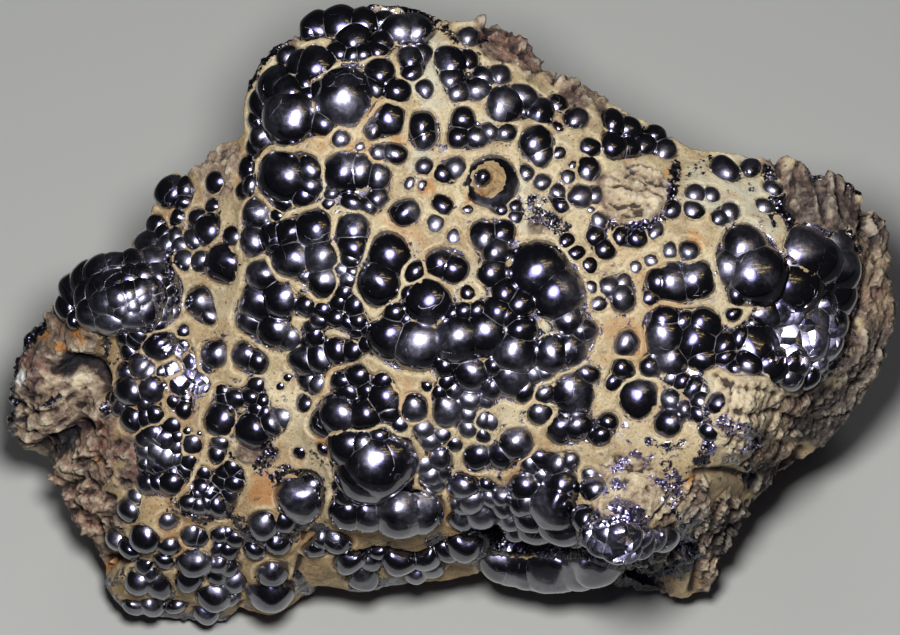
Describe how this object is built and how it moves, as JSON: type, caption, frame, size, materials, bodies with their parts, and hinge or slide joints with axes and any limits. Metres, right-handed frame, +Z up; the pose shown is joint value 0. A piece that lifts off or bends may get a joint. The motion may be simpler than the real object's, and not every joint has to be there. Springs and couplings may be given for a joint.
{
  "type": "botryoidal hematite specimen",
  "caption": "Botryoidal hematite hand specimen: glossy black fused round lobes and tan crust on a broken brown-grey rock that rests on a flat fracture.",
  "frame": {"origin": "centre of the object's box in plan, on the plane it rests on", "axes": "+X along the specimen's length, -Y the side that the lobed face leans towards, +Z up"},
  "size_m": [0.1482, 0.0864, 0.0805],
  "materials": {
    "hematite": "glossy black mirror-like lobes with tan earthy crust between them and brown-grey broken rock on the flanks"
  },
  "bodies": {
    "root": {"hematite_specimen": "hematite"}
  },
  "joints": []
}
